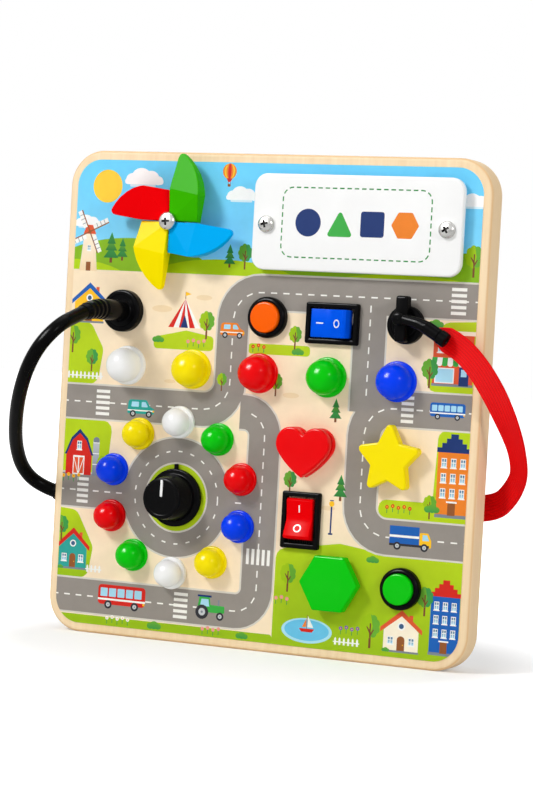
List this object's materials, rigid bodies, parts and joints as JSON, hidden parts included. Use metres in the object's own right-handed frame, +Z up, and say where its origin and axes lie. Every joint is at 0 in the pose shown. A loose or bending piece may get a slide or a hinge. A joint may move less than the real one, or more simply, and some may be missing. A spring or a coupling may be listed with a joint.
{
  "type": "wooden busy board",
  "caption": "Printed wooden busy board with lamps, rocker and push switches, shape buttons, turning knob, pinwheel, plugs on a cable and a strap, and a battery housing behind.",
  "frame": {"origin": "bottom centre of the upright board with its housing, without the cable, strap and plugs, on the surface it stands on", "axes": "+X to the right seen from the front, +Y from the printed face to the back, +Z up the board"},
  "size_m": [0.208, 0.0822, 0.19],
  "materials": {
    "birch_wood": "fine sanded, clear matt lacquer",
    "printed_town": "printed picture under satin varnish",
    "housing_plastic": "fine texture",
    "steel_screw": "nickel plated",
    "cell_wrap": "wrapped steel can",
    "contact_metal": "nickel plated spring steel",
    "circuit_laminate": "solder mask",
    "diode_resin": "clear resin",
    "white_plastic": "moulded, polished",
    "yellow_plastic": "moulded, polished",
    "red_plastic": "moulded, polished",
    "green_plastic": "moulded, polished",
    "blue_plastic": "moulded, polished",
    "orange_plastic": "moulded, polished",
    "sky_plastic": "moulded, polished",
    "black_plastic": "moulded, polished",
    "cable_rubber": "smooth satin",
    "pad_rubber": "translucent grey",
    "strap_webbing": "ribbed woven webbing"
  },
  "bodies": {
    "board": {"board_body": "birch_wood", "printed_sheet": "printed_town", "rear_housing": "housing_plastic", "housing_screws": "steel_screw", "battery_door": "housing_plastic", "battery_door_screw": "steel_screw", "battery_cells": "cell_wrap", "battery_contacts": "contact_metal", "circuit_board": "circuit_laminate", "circuit_screws": "steel_screw", "lamp_diodes": "diode_resin", "large_lamp_white": "white_plastic", "large_lamp_yellow": "yellow_plastic", "large_lamp_red": "red_plastic", "large_lamp_green": "green_plastic", "large_lamp_blue": "blue_plastic", "small_lamps_white": "white_plastic", "small_lamps_yellow": "yellow_plastic", "small_lamps_red": "red_plastic", "small_lamps_green": "green_plastic", "small_lamps_blue": "blue_plastic", "control_case": "black_plastic", "control_nut": "steel_screw", "orange_button_case": "black_plastic", "orange_button_spring": "contact_metal", "green_button_case": "black_plastic", "green_button_spring": "contact_metal", "panel_nuts": "black_plastic", "blue_rocker_frame": "black_plastic", "red_rocker_frame": "black_plastic", "heart_button_base": "red_plastic", "star_button_guide": "white_plastic", "hexagon_button_guide": "white_plastic", "shape_button_pads": "pad_rubber", "pinwheel_screw": "steel_screw", "cover_plate": "white_plastic", "cover_plate_screws": "steel_screw", "left_socket": "black_plastic", "left_cable": "cable_rubber", "left_cable_grommet": "cable_rubber", "right_socket": "black_plastic", "right_strap": "strap_webbing", "strap_anchor": "black_plastic"},
    "pinwheel": {"pinwheel_sail_green": "green_plastic", "pinwheel_sail_red": "red_plastic", "pinwheel_sail_yellow": "yellow_plastic", "pinwheel_sail_blue": "sky_plastic", "pinwheel_hub": "white_plastic"},
    "knob": {"control_knob": "black_plastic", "control_shaft": "steel_screw"},
    "orange_button": {"orange_button_cap": "orange_plastic"},
    "green_button": {"green_button_cap": "green_plastic"},
    "blue_rocker": {"blue_rocker_key": "blue_plastic"},
    "red_rocker": {"red_rocker_key": "red_plastic"},
    "heart_button": {"heart_button_cap": "red_plastic"},
    "star_button": {"star_button_cap": "yellow_plastic"},
    "hexagon_button": {"hexagon_button_cap": "green_plastic"},
    "left_plug_body": {"left_plug": "black_plastic"},
    "right_plug_body": {"right_plug": "black_plastic"}
  },
  "joints": [
    {"name": "pinwheel_spin", "type": "hinge", "parent": "board", "child": "pinwheel", "pos_m": [-0.0396, -0.01452, 0.1625], "axis": [0, 1, 0], "continuous": true},
    {"name": "knob_turn", "type": "hinge", "parent": "board", "child": "knob", "pos_m": [-0.0345, -0.01252, 0.0561], "axis": [0, 1, 0], "range_deg": [-140, 140]},
    {"name": "orange_button_press", "type": "slide", "parent": "board", "child": "orange_button", "axis": [0, 1, 0], "range_m": [0, 0.0018], "stiffness_N_per_m": 600, "springref_m": -0.0015, "deforming": ["orange_button_spring"]},
    {"name": "green_button_press", "type": "slide", "parent": "board", "child": "green_button", "axis": [0, 1, 0], "range_m": [0, 0.0018], "stiffness_N_per_m": 600, "springref_m": -0.0015, "deforming": ["green_button_spring"]},
    {"name": "blue_rocker_tilt", "type": "hinge", "parent": "board", "child": "blue_rocker", "pos_m": [0.028, -0.00513, 0.1265], "axis": [0, 0, 1], "range_deg": [0, 16]},
    {"name": "red_rocker_tilt", "type": "hinge", "parent": "board", "child": "red_rocker", "pos_m": [0.0195, -0.00513, 0.0516], "axis": [1, 0, 0], "range_deg": [0, 16]},
    {"name": "heart_button_press", "type": "slide", "parent": "board", "child": "heart_button", "axis": [0, 1, 0], "range_m": [0, 0.0012], "stiffness_N_per_m": 600, "springref_m": -0.0015, "deforming": ["shape_button_pads"]},
    {"name": "star_button_press", "type": "slide", "parent": "board", "child": "star_button", "axis": [0, 1, 0], "range_m": [0, 0.0012], "stiffness_N_per_m": 600, "springref_m": -0.0015, "deforming": ["shape_button_pads"]},
    {"name": "hexagon_button_press", "type": "slide", "parent": "board", "child": "hexagon_button", "axis": [0, 1, 0], "range_m": [0, 0.0012], "stiffness_N_per_m": 600, "springref_m": -0.0015, "deforming": ["shape_button_pads"]},
    {"name": "left_plug_pull", "type": "slide", "parent": "board", "child": "left_plug_body", "axis": [0, -1, 0], "range_m": [0, 0.008], "deforming": ["left_cable"]},
    {"name": "right_plug_pull", "type": "slide", "parent": "board", "child": "right_plug_body", "axis": [0, -1, 0], "range_m": [0, 0.008], "deforming": ["right_strap"]}
  ]
}
